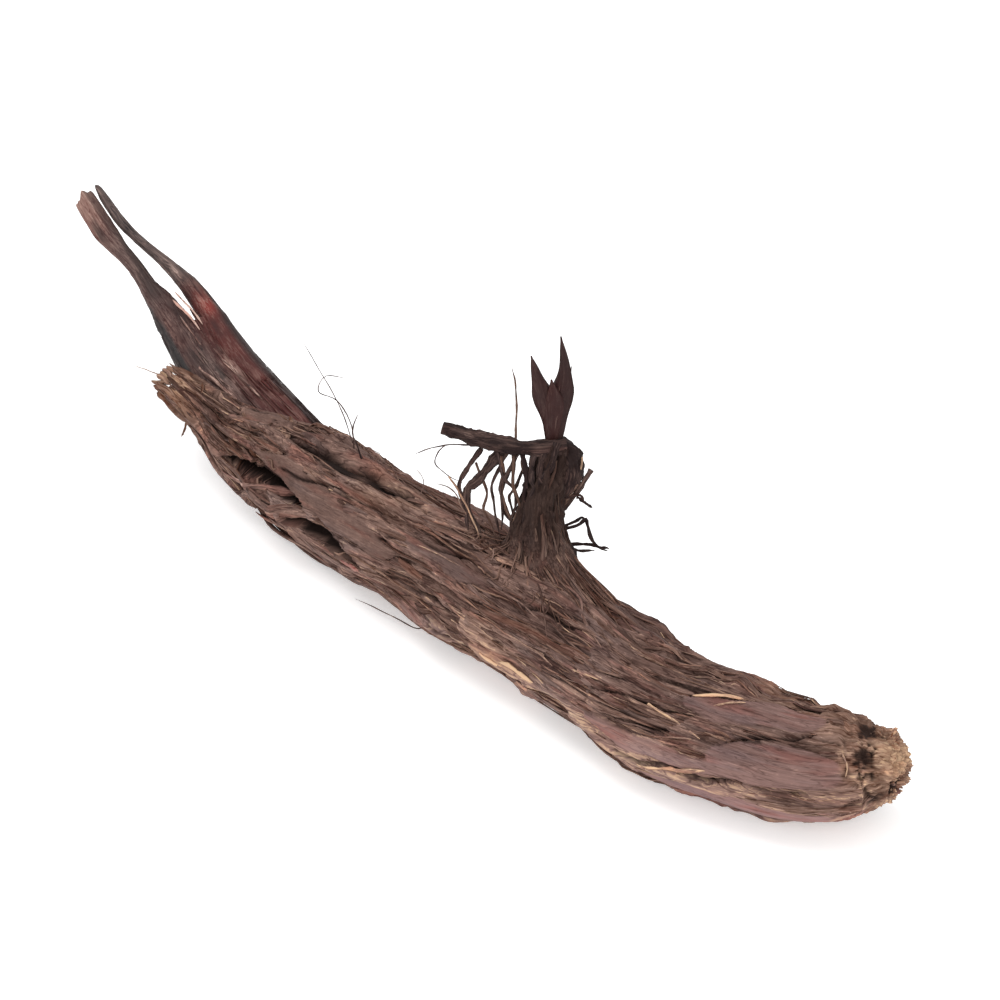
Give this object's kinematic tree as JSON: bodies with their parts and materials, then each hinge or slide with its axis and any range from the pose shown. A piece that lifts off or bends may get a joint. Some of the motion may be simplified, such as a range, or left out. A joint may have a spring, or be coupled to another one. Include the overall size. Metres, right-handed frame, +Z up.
{
  "type": "dried valerian root",
  "caption": "Dried, curved rhizome in ridged fibrous bark, with a broken end, a split prong and a side root stub with a tuft of rootlets; it lies on its side.",
  "frame": {"origin": "middle of the box round the root, at the height of the surface that it rests on", "axes": "+Z up; +X to the right, the side of the broken end; +Y to the back, the side of the prong; -Y to the front, where the picture was taken from"},
  "size_m": [0.062, 0.0702, 0.024],
  "materials": {
    "bark": "dry, fibrous, matt brown bark"
  },
  "bodies": {
    "root": {"valerian_root": "bark"}
  },
  "joints": []
}
